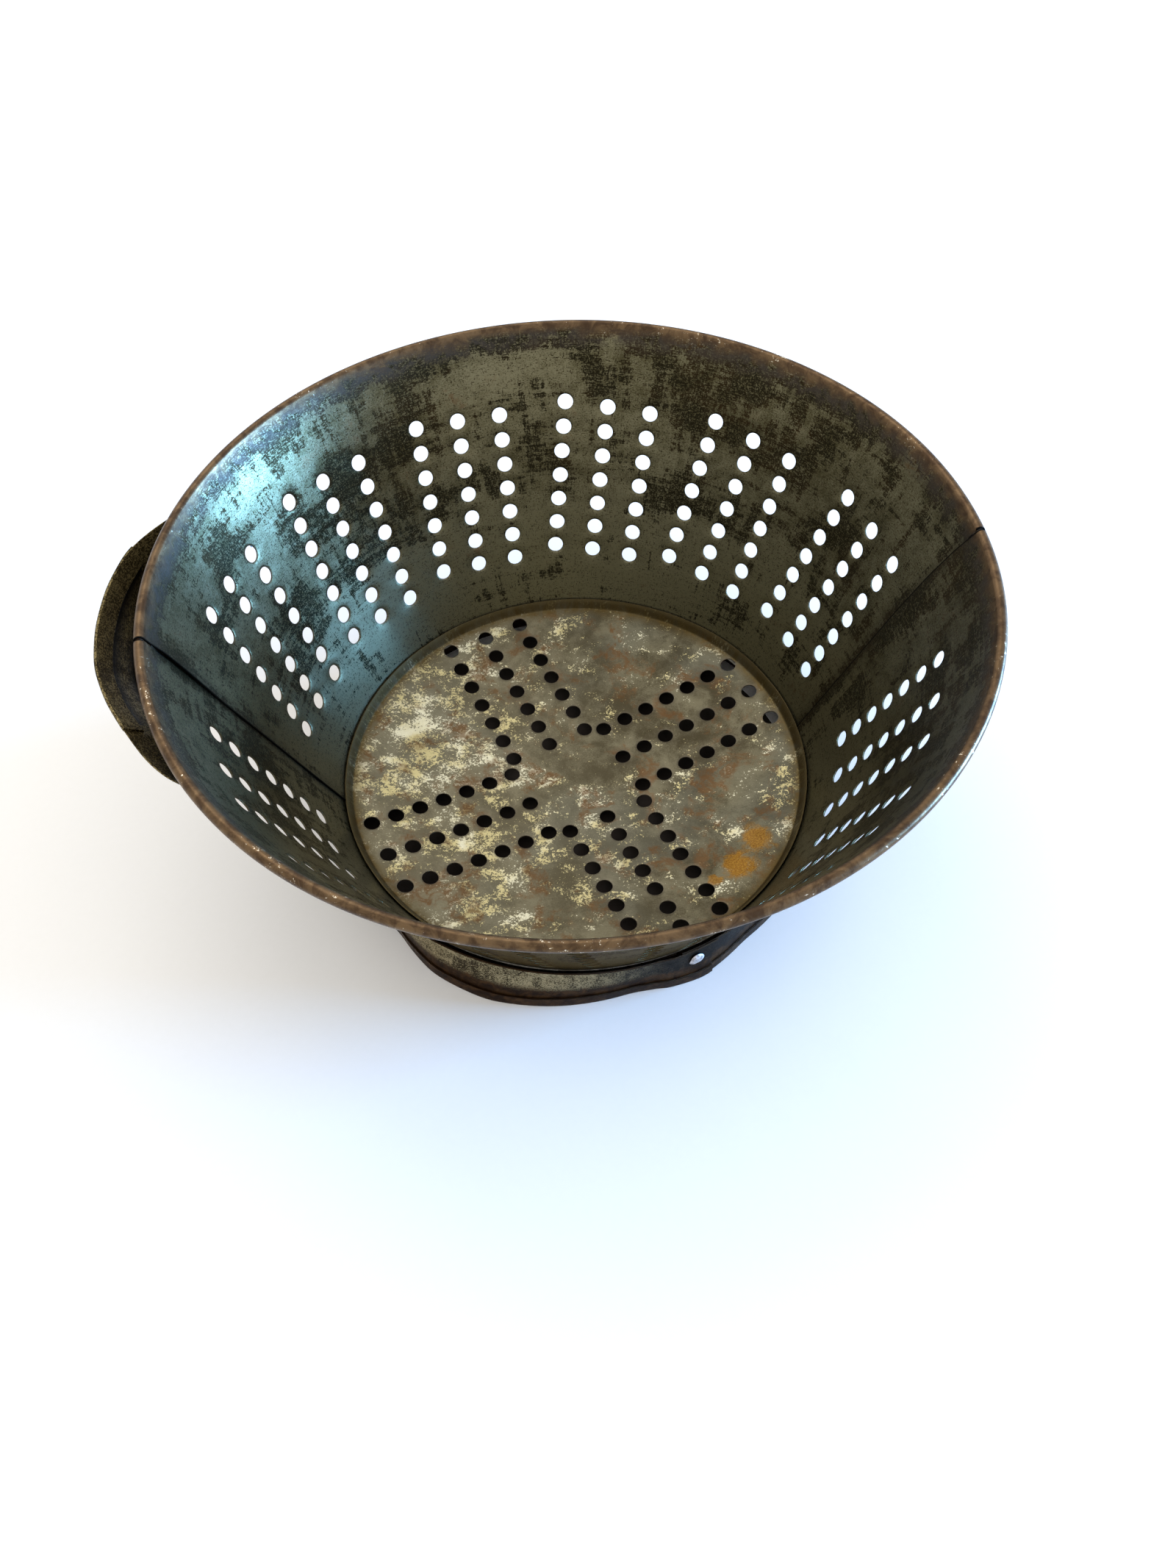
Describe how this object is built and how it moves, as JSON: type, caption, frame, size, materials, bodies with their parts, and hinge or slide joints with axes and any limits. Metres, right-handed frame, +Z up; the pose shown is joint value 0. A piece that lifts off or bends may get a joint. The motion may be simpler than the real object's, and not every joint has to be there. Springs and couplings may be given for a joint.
{
  "type": "tinplate strainer",
  "caption": "Round tinplate kitchen strainer: cone-shaped bowl with punched holes in wall and floor, rolled wired rim, raised foot band and one strap handle.",
  "frame": {"origin": "on the bowl's axis, in the plane that the foot band rests on", "axes": "+Z up out of the bowl; the handle is on the -X side, the two side seams lie near the X axis"},
  "size_m": [0.2804, 0.2666, 0.1161],
  "materials": {
    "aged_tinplate": "dull, darkened tin with fine scratches and brown patina",
    "floor_tinplate": "worn tin with frosted patches and rust stains",
    "foot_tinplate": "dull tin, rust-brown towards its lower hem",
    "handle_tinplate": "dark brown-olive patina, mottled",
    "steel_wire": "rusty drawn wire",
    "bright_rivet": "bright tinned head",
    "solder": "dull grey soft solder"
  },
  "bodies": {
    "root": {"back_wall_panel": "aged_tinplate", "front_wall_panel": "aged_tinplate", "rim_wire": "steel_wire", "floor_disc": "floor_tinplate", "foot_band": "foot_tinplate", "foot_rivet": "bright_rivet", "handle_strap": "handle_tinplate", "handle_solder_back": "solder", "handle_solder_front": "solder", "left_seam_solder": "solder", "right_seam_solder": "solder", "floor_solder": "solder", "foot_solder": "solder"}
  },
  "joints": []
}
